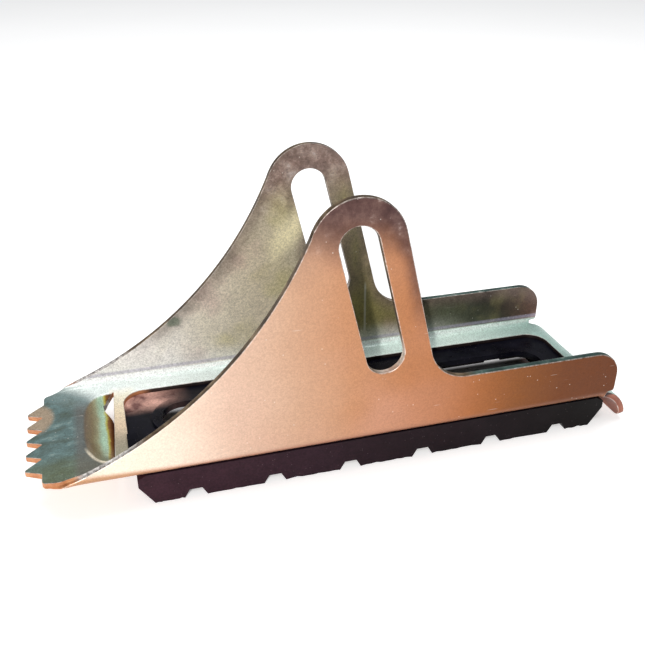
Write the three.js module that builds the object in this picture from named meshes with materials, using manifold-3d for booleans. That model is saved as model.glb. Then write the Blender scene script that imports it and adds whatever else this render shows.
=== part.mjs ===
// Steel wheel chock: one folded sheet with two wings, a toothed toe and a rear claw,
// standing on a moulded rubber sole. Millimetres, +Z up, toe towards -X.
import * as THREE from 'three';
import { mergeVertices } from 'three/addons/utils/BufferGeometryUtils.js';
import Module from 'manifold-3d';

const wasm = await Module();
wasm.setup();

// ---- driving dimensions ----
// While a piece is drawn, X runs back from the toe to 0 at the wings' rear edges,
// and Z = 0 is the underside of the steel floor.
const SHEET = 3;                  // sheet thickness
const WIDTH = 76;                 // over the outsides of the wings
const FOLD_OUTER = 5.7;           // outside radius of the fold between floor and wing
const GAP = 0.3;                  // clearance where steel and rubber meet
const PAST = 1;                   // how far a cutter runs beyond what it cuts

const LEAN = THREE.MathUtils.degToRad(14.2);   // the post leans this far towards the toe
const LOOP = { x: -127, z: 91, radius: 19.6 };  // round head of the post
const SLOT_RADIUS = 8.2;
const SLOT_REACH = 51.1;          // distance between the slot's two end centres
const SEAT_RADIUS = 171.5;        // concave curve that faces the tyre
const SEAT_BEARING = THREE.MathUtils.degToRad(157.4);  // from the head to the seat's centre
const TOE_BLEND = 44;             // radius that eases the seat down into the toe
const RAIL_HEIGHT = 25.6;
const RAIL_CORNER = 12.2;
const POST_FILLET = 18;
const FOOT_NICK = { x: 3.2, z: 4.6 };           // cut at the foot of each wing's rear edge

const TEETH = 5;
const TOOTH_PITCH = 10.2;
const TOOTH_LENGTH = 7.9;
const TOOTH_TIP_FLAT = 1.1;
const TOE_X = -254.9;             // roots of the teeth
const TOE_HALF = 32.4;            // half width at the toe's front corners
const TOE_TAPER_X = -241.5;       // the toe reaches full width here
const TOE_CORNER = 2.4;
const TIP_THICKNESS = 2.3;        // what the bevel leaves at the teeth's points
const TOE_DIP = { x: -241, slope: 0.085 };      // the toe is bent down from this line

const SCOOP = { front: -239.4, lip: -227.8, half: 26.4, depth: 5.2 };
const SCOOP_EARLY = 1.15;         // the scoop reaches its depth a little before the lip
const SCOOP_GRID = { across: 28, along: 12 };
// Behind the scoop's lip the tongue rolls down steeply to the cut. It reaches the cut along the
// near part and draws back at the far end, where a gap stands open.
const TONGUE = { gap: 0.45, roll: 1.6, fullTo: 9, backFrom: 21.5, closing: 22.5, shut: 25.6, back: 4.4 };
const SCOOP_SEAM = 1.5;           // the scoop's sheet laps into the floor by this much
const SLIT_REAR = { x: -224.9, slant: 0.046 };      // the cut runs a little out of square

const WINDOW = { front: -219.8, rear: -4.4, half: 24.3, corner: 9.5 };

const CLAW_RADIUS = 17;           // outside radius of the curl
const CLAW_START_X = -6.2;
const CLAW_TURN = THREE.MathUtils.degToRad(80);
const CLAW_FOOT_Z = -13.9;        // lowest point of the claw
const CLAW_HALF = 35.2;
const CLAW_CORNER = 4;
const CLAW_LAP = 2;               // the claw's sheet laps into the floor by this much

const SOLE_DEPTH = 15.2;          // the sole stands this far below the steel
const SOLE = { front: -218.4, rear: -2.6, half: 35.2 };
const SOLE_RAMP = { x: 6.2, z: 9.2 };            // sloped ends of the tread
const SOLE_TOP_CHAMFER = { x: 3.6, z: 2 };
const SOLE_WALL = 4.3;
const END_WALL_EXTRA = 1;         // the end walls are thicker by this much
const HOLLOW_CORNER = 3;
const SOLE_WEB_UNDER = -3;        // underside of the web between the walls
const PLUG_TOP = 1;               // the part of the sole that stands in the window
const RIM = { top: 2.6, width: 4.4 };
const HOLE = { front: -204.3, rear: -16.7, half: 10.2 };
const HOLE_WALL_FOOT = -0.4;      // below this height the hole's wall flares outwards
const HOLE_FLARE = 3.8;           // by this much on each side
const NOTCHES = 6;
const NOTCH_PITCH = 33.9;
const NOTCH = { mouth: 9.6, crown: 5.2, depth: 3.9 };
const LIP = { near: -21, far: -11, reach: 0.5, rise: 1.2, back: 4 };   // catches the window's edge

// ---- shape helpers ----
const solidOf = (geometry) => {
  geometry.deleteAttribute('normal');
  geometry.deleteAttribute('uv');
  const merged = mergeVertices(geometry, 1e-5);
  return new wasm.Manifold(new wasm.Mesh({
    numProp: 3,
    vertProperties: Float32Array.from(merged.attributes.position.array),
    triVerts: Uint32Array.from(merged.index.array),
  }));
};

const meshOf = (name, solid, material) => {
  const { vertProperties, triVerts } = solid.getMesh();
  const geometry = new THREE.BufferGeometry();
  geometry.setAttribute('position', new THREE.BufferAttribute(vertProperties, 3));
  geometry.setIndex(new THREE.BufferAttribute(triVerts, 1));
  geometry.computeVertexNormals();
  const mesh = new THREE.Mesh(geometry, material);
  mesh.name = name;
  return mesh;
};

const extrude = (shape, depth, curveSegments) =>
  new THREE.ExtrudeGeometry(shape, { depth, curveSegments, bevelEnabled: false });

// A plan outline (x, y) raised from z0 to z1.
const raise = (shape, z0, z1, segments = 8) =>
  solidOf(extrude(shape, z1 - z0, segments).translate(0, 0, z0));

// A side outline (x, z) carried across from y0 to y1.
const carryAcross = (shape, y0, y1, segments = 8) =>
  solidOf(extrude(shape, y1 - y0, segments).rotateX(Math.PI / 2).translate(0, y1, 0));

// A cross-section (y, z) run along the length from x0 to x1.
const runAlong = (shape, x0, x1, segments = 6) => {
  const toLength = new THREE.Matrix4().makeBasis(
    new THREE.Vector3(0, 1, 0), new THREE.Vector3(0, 0, 1), new THREE.Vector3(1, 0, 0));
  return solidOf(extrude(shape, x1 - x0, segments).applyMatrix4(toLength).translate(x0, 0, 0));
};

const polygon = (points) => new THREE.Shape(points.map(([a, b]) => new THREE.Vector2(a, b)));

const roundedBox = (x0, x1, half, corner) => {
  const shape = new THREE.Shape();
  shape.absarc(x1 - corner, half - corner, corner, 0, Math.PI / 2);
  shape.absarc(x0 + corner, half - corner, corner, Math.PI / 2, Math.PI);
  shape.absarc(x0 + corner, corner - half, corner, Math.PI, Math.PI * 1.5);
  shape.absarc(x1 - corner, corner - half, corner, Math.PI * 1.5, Math.PI * 2);
  return shape;
};

const stadium = (ax, ay, bx, by, radius) => {
  const along = Math.atan2(by - ay, bx - ax);
  const shape = new THREE.Shape();
  shape.absarc(bx, by, radius, along - Math.PI / 2, along + Math.PI / 2);
  shape.absarc(ax, ay, radius, along + Math.PI / 2, along + Math.PI * 1.5);
  return shape;
};

// ---- the folded steel body ----
const channelSection = () => {
  const half = WIDTH / 2;
  const inner = FOLD_OUTER - SHEET;
  const top = LOOP.z + LOOP.radius + PAST;
  const shape = new THREE.Shape();
  shape.moveTo(half, top);
  shape.lineTo(half - SHEET, top);
  shape.absarc(half - FOLD_OUTER, FOLD_OUTER, inner, 0, -Math.PI / 2, true);
  shape.absarc(FOLD_OUTER - half, FOLD_OUTER, inner, -Math.PI / 2, -Math.PI, true);
  shape.lineTo(SHEET - half, top);
  shape.lineTo(-half, top);
  shape.absarc(FOLD_OUTER - half, FOLD_OUTER, FOLD_OUTER, Math.PI, Math.PI * 1.5);
  shape.absarc(half - FOLD_OUTER, FOLD_OUTER, FOLD_OUTER, Math.PI * 1.5, Math.PI * 2);
  return shape;
};

// The wing seen from the side: rear rail, leaning post with a round head, tyre seat, toe.
const wingOutline = () => {
  const seatX = LOOP.x + (LOOP.radius + SEAT_RADIUS) * Math.cos(SEAT_BEARING);
  const seatZ = LOOP.z + (LOOP.radius + SEAT_RADIUS) * Math.sin(SEAT_BEARING);
  const blendZ = SHEET + TOE_BLEND;
  const blendX = seatX + Math.sqrt((SEAT_RADIUS - TOE_BLEND) ** 2 - (seatZ - blendZ) ** 2);
  const blendAngle = Math.atan2(blendZ - seatZ, blendX - seatX);

  const postX = LOOP.x + LOOP.radius / Math.cos(LEAN) + (LOOP.z - RAIL_HEIGHT) * Math.tan(LEAN);
  const setback = POST_FILLET * Math.tan((Math.PI / 2 - LEAN) / 2);
  const filletX = postX + setback;

  const shape = new THREE.Shape();
  shape.moveTo(TOE_X - PAST, 0);
  shape.lineTo(-FOOT_NICK.x, 0);
  shape.lineTo(0, FOOT_NICK.z);
  shape.absarc(-RAIL_CORNER, RAIL_HEIGHT - RAIL_CORNER, RAIL_CORNER, 0, Math.PI / 2);
  shape.absarc(filletX, RAIL_HEIGHT + POST_FILLET, POST_FILLET, Math.PI * 1.5, Math.PI + LEAN, true);
  shape.absarc(LOOP.x, LOOP.z, LOOP.radius, LEAN, SEAT_BEARING);
  shape.absarc(seatX, seatZ, SEAT_RADIUS, SEAT_BEARING - Math.PI, blendAngle, true);
  shape.absarc(blendX, blendZ, TOE_BLEND, blendAngle, -Math.PI / 2, true);
  shape.lineTo(TOE_X - PAST, SHEET);
  return shape;
};

const strapSlot = () => stadium(
  LOOP.x + SLOT_REACH * Math.sin(LEAN), LOOP.z - SLOT_REACH * Math.cos(LEAN),
  LOOP.x, LOOP.z, SLOT_RADIUS);

// The toe plate in plan: the flat of the floor with a row of points along the front.
const toeOutline = () => {
  const half = WIDTH / 2 - FOLD_OUTER;
  const points = [[TOE_TAPER_X, -half], [TOE_TAPER_X, half], [TOE_X, half]];
  for (let tooth = 0; tooth < TEETH; tooth += 1) {
    const middle = ((TEETH - 1) / 2 - tooth) * TOOTH_PITCH;
    points.push([TOE_X, middle + TOOTH_PITCH / 2]);
    points.push([TOE_X - TOOTH_LENGTH, middle + TOOTH_TIP_FLAT / 2]);
    points.push([TOE_X - TOOTH_LENGTH, middle - TOOTH_TIP_FLAT / 2]);
  }
  points.push([TOE_X, -TEETH / 2 * TOOTH_PITCH], [TOE_X, -half]);
  return polygon(points);
};

// What is cut away beside the toe on one side: its taper and its front corner.
const besideToe = (side) => {
  const points = [
    [TOE_TAPER_X, WIDTH / 2], [TOE_X + TOE_CORNER, TOE_HALF], [TOE_X, TOE_HALF - TOE_CORNER],
    [TOE_X - PAST, TOE_HALF - TOE_CORNER], [TOE_X - PAST, WIDTH], [TOE_TAPER_X, WIDTH]];
  const outline = points.map(([x, y]) => [x, side * y]);
  return raise(polygon(side > 0 ? outline.reverse() : outline), -PAST, WIDTH);
};

const toePlate = () => {
  const tipX = TOE_X - TOOTH_LENGTH;
  const bevel = polygon([
    [tipX - PAST, TIP_THICKNESS], [tipX, TIP_THICKNESS], [TOE_X - PAST, SHEET],
    [TOE_X - PAST, SHEET + PAST], [tipX - PAST, SHEET + PAST]]);
  return raise(toeOutline(), 0, SHEET).subtract(carryAcross(bevel, -WIDTH, WIDTH));
};

// Where the scoop leaves the floor, as a share of its half width (0 middle, 1 end).
const scoopFrontX = (share) =>
  SCOOP.lip - (SCOOP.lip - SCOOP.front) * Math.sqrt(Math.max(0, 1 - share ** 3));

// The tongue's rear end, and how far it has rolled down at a point behind the lip.
const easeBetween = (low, high, value) => {
  const t = Math.min(1, Math.max(0, (value - low) / (high - low)));
  return t * t * (3 - 2 * t);
};
const slitRearX = (y) => SLIT_REAR.x + SLIT_REAR.slant * y;
const tongueX = (y) => {
  const open = easeBetween(TONGUE.fullTo, TONGUE.backFrom, y);
  const shut = easeBetween(TONGUE.closing, TONGUE.shut, y);
  return slitRearX(y) - TONGUE.gap - TONGUE.back * open * (1 - shut);
};
const tongueRoll = (x, y) => {
  const span = SLIT_REAR.x - SCOOP.lip;
  const ends = Math.min(1, (1 - Math.abs(y) / SCOOP.half) / 0.16);
  return TONGUE.roll * ends * Math.max(0, (x - SCOOP.lip) / span) ** 2;
};

// The pressed scoop: a closed strip of sheet that sinks from the floor to its rear lip.
const scoop = () => {
  const { across, along } = SCOOP_GRID;
  const positions = [];
  for (const drop of [0, SHEET]) {
    for (let i = 0; i <= across; i += 1) {
      const y = SCOOP.half * (2 * i / across - 1);
      const share = Math.abs(y) / SCOOP.half;
      const front = scoopFrontX(share) - SCOOP_SEAM;
      for (let j = 0; j <= along; j += 1) {
        const x = front + (tongueX(y) - front) * j / along;
        const run = Math.max(0, (x - front - SCOOP_SEAM) / (SCOOP.lip - SCOOP.front));
        const sink = SCOOP.depth * Math.sin(Math.min(1, run * SCOOP_EARLY) * Math.PI / 2) ** 2;
        positions.push(x, y, SHEET - drop - sink - tongueRoll(x, y));
      }
    }
  }
  const row = along + 1;
  const sheet = row * (across + 1);
  const index = [];
  const quad = (a, b, c, d) => index.push(a, b, c, a, c, d);
  for (let i = 0; i < across; i += 1) {
    for (let j = 0; j < along; j += 1) {
      const a = i * row + j;
      quad(a, a + 1, a + row + 1, a + row);
      quad(sheet + a, sheet + a + row, sheet + a + row + 1, sheet + a + 1);
    }
    const front = i * row;
    const lip = i * row + along;
    quad(front, front + row, sheet + front + row, sheet + front);
    quad(lip, sheet + lip, sheet + lip + row, lip + row);
  }
  for (let j = 0; j < along; j += 1) {
    const last = across * row + j;
    quad(j, sheet + j, sheet + j + 1, j + 1);
    quad(last, last + 1, sheet + last + 1, sheet + last);
  }
  const geometry = new THREE.BufferGeometry();
  geometry.setAttribute('position', new THREE.Float32BufferAttribute(positions, 3));
  geometry.setIndex(index);
  return solidOf(geometry);
};

const scoopOpening = () => {
  const steps = SCOOP_GRID.across;
  const { half } = SCOOP;
  const points = [[slitRearX(half), half], [slitRearX(-half), -half]];
  for (let i = 0; i <= steps; i += 1) {
    const y = SCOOP.half * (2 * i / steps - 1);
    points.push([scoopFrontX(Math.abs(y) / SCOOP.half), y]);
  }
  return polygon(points.reverse());
};

// The rear claw: full-width sheet curled down behind the wings, with rounded corners.
const clawEnd = Math.PI / 2 - CLAW_TURN;
const clawRun = () => {
  const arcFoot = SHEET - CLAW_RADIUS + (CLAW_RADIUS - SHEET) * Math.sin(clawEnd);
  return (arcFoot - CLAW_FOOT_Z) / Math.cos(clawEnd);
};
const clawTip = (radius) => [
  CLAW_START_X + radius * Math.cos(clawEnd) + clawRun() * Math.sin(clawEnd),
  SHEET - CLAW_RADIUS + radius * Math.sin(clawEnd) - clawRun() * Math.cos(clawEnd)];

const claw = () => {
  const inner = CLAW_RADIUS - SHEET;
  const centreZ = SHEET - CLAW_RADIUS;
  const profile = new THREE.Shape();
  profile.moveTo(CLAW_START_X - CLAW_LAP, SHEET);
  profile.lineTo(CLAW_START_X - CLAW_LAP, 0);
  profile.absarc(CLAW_START_X, centreZ, inner, Math.PI / 2, clawEnd, true);
  profile.lineTo(...clawTip(inner));
  profile.lineTo(...clawTip(CLAW_RADIUS));
  profile.absarc(CLAW_START_X, centreZ, CLAW_RADIUS, clawEnd, Math.PI / 2);

  const cornerY = CLAW_HALF - CLAW_CORNER;
  const cornerZ = CLAW_FOOT_Z + CLAW_CORNER;
  const rounded = new THREE.Shape();
  rounded.moveTo(CLAW_HALF, SHEET + PAST);
  rounded.lineTo(-CLAW_HALF, SHEET + PAST);
  rounded.absarc(-cornerY, cornerZ, CLAW_CORNER, Math.PI, Math.PI * 1.5);
  rounded.absarc(cornerY, cornerZ, CLAW_CORNER, Math.PI * 1.5, Math.PI * 2);
  return carryAcross(profile, -CLAW_HALF, CLAW_HALF, 8)
    .intersect(runAlong(rounded, CLAW_START_X - CLAW_LAP - PAST, CLAW_RADIUS));
};

// The toe is bent down along one line across the sheet.
const dipToe = (solid) => {
  const [toe, rest] = solid.splitByPlane([-1, 0, 0], -TOE_DIP.x);
  const bend = new THREE.Matrix4().set(
    1, 0, 0, 0,
    0, 1, 0, 0,
    TOE_DIP.slope, 0, 1, -TOE_DIP.slope * TOE_DIP.x,
    0, 0, 0, 1);
  return toe.transform(bend.elements).add(rest);
};

const steelBody = () => {
  const folded = runAlong(channelSection(), TOE_X, 0)
    .intersect(carryAcross(wingOutline(), -WIDTH, WIDTH, 18));
  const window = roundedBox(WINDOW.front, WINDOW.rear, WINDOW.half, WINDOW.corner);
  const flatToed = folded
    .add(toePlate())
    .subtract(besideToe(1))
    .subtract(besideToe(-1))
    .subtract(raise(scoopOpening(), -PAST, SHEET + PAST))
    .add(scoop())
    .add(claw())
    .subtract(raise(window, -PAST, SHEET + PAST))
    .subtract(carryAcross(strapSlot(), -WIDTH, WIDTH, 8));
  return dipToe(flatToed);
};

// ---- the rubber sole ----
const treadOutline = () => {
  const middle = (SOLE.front + SOLE.rear) / 2;
  const points = [
    [SOLE.rear - SOLE_TOP_CHAMFER.x, -GAP], [SOLE.front + SOLE_TOP_CHAMFER.x, -GAP],
    [SOLE.front, -GAP - SOLE_TOP_CHAMFER.z],
    [SOLE.front, SOLE_RAMP.z - SOLE_DEPTH], [SOLE.front + SOLE_RAMP.x, -SOLE_DEPTH]];
  for (let notch = 0; notch < NOTCHES; notch += 1) {
    const x = middle + (notch - (NOTCHES - 1) / 2) * NOTCH_PITCH;
    points.push([x - NOTCH.mouth / 2, -SOLE_DEPTH], [x - NOTCH.crown / 2, NOTCH.depth - SOLE_DEPTH]);
    points.push([x + NOTCH.crown / 2, NOTCH.depth - SOLE_DEPTH], [x + NOTCH.mouth / 2, -SOLE_DEPTH]);
  }
  points.push([SOLE.rear - SOLE_RAMP.x, -SOLE_DEPTH], [SOLE.rear, SOLE_RAMP.z - SOLE_DEPTH]);
  points.push([SOLE.rear, -GAP - SOLE_TOP_CHAMFER.z]);
  return polygon(points);
};

const holeStadium = (grow) =>
  stadium(HOLE.front + HOLE.half, 0, HOLE.rear - HOLE.half, 0, HOLE.half + grow);

const rubberSole = () => {
  const endWall = SOLE_WALL + END_WALL_EXTRA;
  const hollow = roundedBox(
    SOLE.front + endWall, SOLE.rear - endWall, SOLE.half - SOLE_WALL, HOLLOW_CORNER);
  const plug = roundedBox(
    WINDOW.front + GAP, WINDOW.rear - GAP, WINDOW.half - GAP, WINDOW.corner - GAP);
  const lip = polygon([
    [WINDOW.front - LIP.reach, LIP.near], [WINDOW.front + LIP.back, LIP.near],
    [WINDOW.front + LIP.back, LIP.far], [WINDOW.front - LIP.reach, LIP.far]]);
  const lipTop = SHEET + GAP + LIP.rise;
  const rise = HOLE_WALL_FOOT - SOLE_WEB_UNDER;
  const flare = solidOf(new THREE.ExtrudeGeometry(holeStadium(0), {
    depth: SOLE_DEPTH,
    bevelThickness: rise,
    bevelSize: HOLE_FLARE,
    bevelSegments: 1,
    curveSegments: 8,
  }).translate(0, 0, HOLE_WALL_FOOT - rise - SOLE_DEPTH));
  return carryAcross(treadOutline(), -SOLE.half, SOLE.half)
    .subtract(raise(hollow, -SOLE_DEPTH - PAST, SOLE_WEB_UNDER, 3))
    .add(raise(plug, -PAST, PLUG_TOP))
    .add(raise(holeStadium(RIM.width), -PAST, RIM.top))
    .add(raise(lip, 0, lipTop).intersect(raise(plug, 0, lipTop)))
    .add(raise(lip, SHEET + GAP, lipTop))
    .subtract(raise(holeStadium(0), -SOLE_DEPTH - PAST, RIM.top + PAST))
    .subtract(flare);
};

const zincSteel = new THREE.MeshStandardMaterial({ color: 0xc9a06a, roughness: 0.35, metalness: 0.9 });
const blackRubber = new THREE.MeshStandardMaterial({ color: 0x1c1719, roughness: 0.6, metalness: 0 });

const chock = new THREE.Group();
chock.name = 'wheel_chock';
chock.add(meshOf('steel_body', steelBody(), zincSteel));
chock.add(meshOf('rubber_sole', rubberSole(), blackRubber));

// The finished part stands on the ground with the middle of its length over the origin.
const [rearX] = clawTip(CLAW_RADIUS);
chock.position.set(-(TOE_X - TOOTH_LENGTH + rearX) / 2, 0, SOLE_DEPTH);

export default chock;
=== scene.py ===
"""Steel wheel chock on its rubber sole: a folded, zinc-plated pressing and a moulded black sole."""

import math
import random

import bmesh
import bpy
import numpy as np
from mathutils import Matrix, Vector
from mathutils.geometry import delaunay_2d_cdt


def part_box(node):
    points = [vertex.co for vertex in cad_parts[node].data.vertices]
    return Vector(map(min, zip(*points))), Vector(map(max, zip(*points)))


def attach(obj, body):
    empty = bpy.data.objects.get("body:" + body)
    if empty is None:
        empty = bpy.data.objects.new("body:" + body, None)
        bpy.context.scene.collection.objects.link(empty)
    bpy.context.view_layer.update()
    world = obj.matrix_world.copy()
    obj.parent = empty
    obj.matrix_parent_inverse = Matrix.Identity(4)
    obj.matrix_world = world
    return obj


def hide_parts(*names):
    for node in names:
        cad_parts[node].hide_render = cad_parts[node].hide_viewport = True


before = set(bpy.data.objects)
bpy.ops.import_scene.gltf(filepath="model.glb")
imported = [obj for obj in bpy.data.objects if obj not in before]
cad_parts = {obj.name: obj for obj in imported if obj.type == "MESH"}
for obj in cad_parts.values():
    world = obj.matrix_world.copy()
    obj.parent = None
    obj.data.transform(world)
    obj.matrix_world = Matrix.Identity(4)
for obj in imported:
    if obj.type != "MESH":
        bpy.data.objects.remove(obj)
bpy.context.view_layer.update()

MM = 0.001

# ---- sizes of the steel pressing, in millimetres ----
# The blank is drawn flat: v runs along the chock from the toe (negative) to the rear of the wings,
# u runs across it and up the wings, and h goes through the sheet from its outer face.
SHEET = 3.0
HALF_WIDTH = 38.0
FOLD_OUTER = 5.7
FOLD_MID = FOLD_OUTER - SHEET / 2
FLAT_HALF = HALF_WIDTH - FOLD_OUTER
FOLD_LENGTH = FOLD_MID * math.pi / 2
WING_FOOT_U = FLAT_HALF + FOLD_LENGTH

LEAN = math.radians(14.2)
LOOP_V, LOOP_Z, LOOP_RADIUS = -127.0, 91.0, 19.6
SLOT_RADIUS, SLOT_REACH = 8.2, 51.1
SEAT_RADIUS = 171.5
SEAT_BEARING = math.radians(157.4)
TOE_BLEND = 44.0
RAIL_HEIGHT, RAIL_CORNER, POST_FILLET = 25.6, 12.2, 18.0

TEETH, TOOTH_PITCH, TOOTH_LENGTH = 5, 10.2, 7.9
TOE_V, TOE_HALF, TOE_TAPER_V, TOE_CORNER = -254.9, 32.4, -241.5, 2.4
TIP_THICKNESS = 2.3
DIP_V, DIP_SLOPE = -241.0, 0.085

SCOOP_FRONT, SCOOP_LIP, SCOOP_HALF, SCOOP_DEPTH = -239.4, -227.8, 26.4, 5.2
SLIT_REAR, SLIT_SLANT = -224.9, 0.046
# behind the scoop's lip the tongue rolls down to the cut; it draws back at the far end
TONGUE_GAP, TONGUE_ROLL, TONGUE_BACK = 0.45, 1.6, 4.4
TONGUE_FULL_TO, TONGUE_BACK_FROM, TONGUE_CLOSING, TONGUE_SHUT = 9.0, 21.5, 22.5, 25.6
WINDOW_FRONT, WINDOW_REAR, WINDOW_HALF, WINDOW_CORNER = -219.8, -4.4, 24.3, 9.5

CLAW_RADIUS, CLAW_START, CLAW_TURN = 17.0, -6.2, math.radians(80)
CLAW_FOOT_Z, CLAW_HALF, CLAW_CORNER = -13.9, 35.2, 4.0
CLAW_MID = CLAW_RADIUS - SHEET / 2

SOLE_DEPTH = 15.2

# ---- where the drawing sits in the finished part ----
steel_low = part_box("steel_body")[0]
TOE_TIP_V = TOE_V - TOOTH_LENGTH
SHIFT_X = steel_low[0] / MM - TOE_TIP_V
SHIFT_Z = SOLE_DEPTH


def linked(name, data):
    obj = bpy.data.objects.new(name, data)
    bpy.context.scene.collection.objects.link(obj)
    return obj


def placed(points):
    """Drawing millimetres to the finished part's metres."""
    out = np.asarray(points, dtype=float) + np.array((SHIFT_X, 0.0, SHIFT_Z))
    return out * MM


# ---- the camera ----
SENSOR_WIDTH = 36.0
LENS_TO_SENSOR = 805.23 / 645
AZIMUTH, ELEVATION, ROLL = -0.286264, 0.493249, -0.0066707
CAMERA_SPOT = (-230.930 * 0.95, -318.111 * 0.95, 220.058 * 0.95)


def add_camera():
    data = bpy.data.cameras.new("camera")
    data.sensor_width = SENSOR_WIDTH
    data.lens = LENS_TO_SENSOR * SENSOR_WIDTH
    data.clip_start, data.clip_end = 0.01, 20.0
    data.dof.use_dof = False
    camera = linked("camera", data)
    forward = Vector((-math.sin(AZIMUTH) * math.cos(ELEVATION),
                      math.cos(AZIMUTH) * math.cos(ELEVATION), -math.sin(ELEVATION)))
    right = Vector((math.cos(AZIMUTH), math.sin(AZIMUTH), 0.0))
    down = forward.cross(right)
    c, s = math.cos(ROLL), math.sin(ROLL)
    side = c * right + s * down
    below = -s * right + c * down
    turn = Matrix((side, -below, -forward)).transposed()
    camera.matrix_world = Matrix.Translation(Vector(placed([CAMERA_SPOT])[0])) @ turn.to_4x4()
    bpy.context.scene.camera = camera


add_camera()


# ---- the sheet as a map from the flat blank to the folded part ----
SCOOP_WALL = 0.16  # share of the scoop's half width taken up by its end wall


def smooth(low, high, x):
    t = np.clip((x - low) / (high - low), 0.0, 1.0)
    return t * t * (3.0 - 2.0 * t)


def scoop_front(share):
    return SCOOP_LIP - (SCOOP_LIP - SCOOP_FRONT) * np.sqrt(np.maximum(0.0, 1.0 - share ** 3))


def scoop_sink(u, v):
    """How far the floor is pressed down at a point of the toe's scoop."""
    share = np.clip(np.abs(u) / SCOOP_HALF, 0.0, 1.0)
    run = (v - scoop_front(share)) / (SCOOP_LIP - SCOOP_FRONT)
    across = np.clip((1.0 - share) / SCOOP_WALL, 0.0, 1.0)
    across = across * across * (3.0 - 2.0 * across)
    along = np.sin(np.clip(run * 1.25, 0.0, 1.0) * math.pi / 2) ** 2
    roll = np.clip((v - SCOOP_LIP) / (SLIT_REAR - SCOOP_LIP), 0.0, 1.2) ** 2
    inside = (v < slit_rear(u) - TONGUE_GAP / 2) & (v > SCOOP_FRONT - 4.0)
    return np.where(inside, (SCOOP_DEPTH * along + TONGUE_ROLL * roll) * across, 0.0)


def slit_rear(u):
    """The slit's rear side, a little out of square."""
    return SLIT_REAR + SLIT_SLANT * u


def tongue_end(u):
    """Where the tongue's rear edge lies."""
    drawn_back = smooth(TONGUE_FULL_TO, TONGUE_BACK_FROM, u) * (1.0 - smooth(TONGUE_CLOSING,
                                                                             TONGUE_SHUT, u))
    return slit_rear(u) - TONGUE_GAP - TONGUE_BACK * drawn_back


def local_thickness(u, v):
    """The sheet thins towards the teeth's points."""
    t = np.clip((TOE_V - 0.5 - v) / (TOOTH_LENGTH - 0.5), 0.0, 1.0)
    return SHEET - (SHEET - TIP_THICKNESS) * t ** 1.3


def folded(u, v, h):
    """Flat blank (u, v, h) to drawing millimetres (x, y, z)."""
    u, v, h = (np.asarray(a, dtype=float) for a in (u, v, h))
    h = h / SHEET * local_thickness(u, v)
    side = np.sign(u)
    reach = np.abs(u)
    radius = FOLD_OUTER - h
    angle = np.clip((reach - FLAT_HALF) / FOLD_MID, 0.0, math.pi / 2)
    beyond = np.maximum(reach - WING_FOOT_U, 0.0)
    flat = np.minimum(reach, FLAT_HALF)
    y_fold = flat + np.where(angle > 0, radius * np.sin(angle), 0.0)
    z_fold = np.where(angle > 0, FOLD_OUTER - radius * np.cos(angle) + beyond, h)
    # at the rear the floor runs out flat between the wings' feet
    ease = smooth(-6.6, -2.9, v) * (1.0 - smooth(35.4, 38.0, reach))
    y_out = y_fold + (reach - y_fold) * ease
    z_out = z_fold + (h - z_fold) * ease
    # the claw curls down behind
    past = v - CLAW_START
    turn = np.clip(past / CLAW_MID, 0.0, CLAW_TURN)
    tail = np.maximum(past - CLAW_MID * CLAW_TURN, 0.0)
    curl = ((past > 0) & (reach < 36.5)).astype(float)
    lean = CLAW_RADIUS - SHEET + z_out
    x_claw = CLAW_START + lean * np.sin(turn) + tail * np.cos(turn)
    z_claw = SHEET - CLAW_RADIUS + lean * np.cos(turn) - tail * np.sin(turn)
    x = v + (x_claw - v) * curl
    z = z_out + (z_claw - z_out) * curl
    z = z - scoop_sink(u, v) * (reach < SCOOP_HALF)
    ahead = np.maximum(DIP_V + 2.0 - v, 0.0)
    z = z - DIP_SLOPE * np.where(ahead < 4.0, ahead * ahead / 8.0, ahead - 2.0)
    return np.stack((x, side * y_out, z), axis=-1)


# ---- outlines of the blank ----
def arc(centre, radius, start, end, step=2.0):
    count = max(3, int(abs(end - start) * radius / step) + 1)
    return [(centre[0] + radius * math.cos(start + (end - start) * i / count),
             centre[1] + radius * math.sin(start + (end - start) * i / count))
            for i in range(count + 1)]


def resampled(points, step, closed=True):
    """Evenly spaced points along a line, with its sharp corners kept."""
    out = []
    count = len(points)
    for i in range(count if closed else count - 1):
        a, b = np.array(points[i], dtype=float), np.array(points[(i + 1) % count], dtype=float)
        parts = max(1, int(round(np.linalg.norm(b - a) / step)))
        out.extend(tuple(a + (b - a) * k / parts) for k in range(parts))
    if not closed:
        out.append(tuple(points[-1]))
    return out


def rounded_corners(points, radii, pieces=4):
    """A closed polygon with a small arc in place of each corner."""
    out = []
    count = len(points)
    for i, (p, r) in enumerate(zip(points, radii)):
        if r <= 0:
            out.append(tuple(p))
            continue
        p = np.array(p, dtype=float)
        a = np.array(points[i - 1], dtype=float) - p
        b = np.array(points[(i + 1) % count], dtype=float) - p
        la, lb = np.linalg.norm(a), np.linalg.norm(b)
        a, b = a / la, b / lb
        half = math.acos(max(-1.0, min(1.0, float(a @ b)))) / 2
        cut = min(r / math.tan(half), 0.48 * la, 0.48 * lb)
        real = cut * math.tan(half)
        mid = (a + b) / np.linalg.norm(a + b)
        centre = p + mid * (real / math.sin(half))
        start, end = p + a * cut - centre, p + b * cut - centre
        sweep = math.pi - 2 * half
        cross = start[0] * end[1] - start[1] * end[0]
        base = math.atan2(start[1], start[0])
        sign = 1.0 if cross > 0 else -1.0
        for k in range(pieces + 1):
            t = base + sign * sweep * k / pieces
            out.append((centre[0] + real * math.cos(t), centre[1] + real * math.sin(t)))
    return out


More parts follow.
